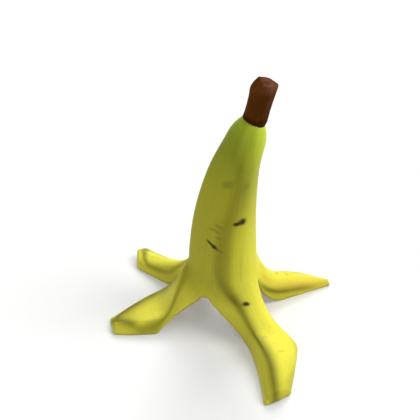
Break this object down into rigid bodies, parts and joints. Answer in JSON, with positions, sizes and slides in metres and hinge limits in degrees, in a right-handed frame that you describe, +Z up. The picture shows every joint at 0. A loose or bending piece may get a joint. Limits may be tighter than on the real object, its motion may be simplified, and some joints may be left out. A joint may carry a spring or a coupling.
{
  "type": "banana peel",
  "caption": "Empty banana peel standing on its splayed, torn strips, neck and stem up, hollow and open underneath.",
  "frame": {"origin": "middle of the peel's plan, on the floor that it stands on", "axes": "+Z up; +X to the right, the way the neck bends; -Y to the front, the way the long front strip lies"},
  "size_m": [0.1308, 0.1392, 0.1429],
  "materials": {
    "peel": "satin",
    "stem": "matt"
  },
  "bodies": {
    "root": {"peel": "peel"}
  },
  "joints": []
}
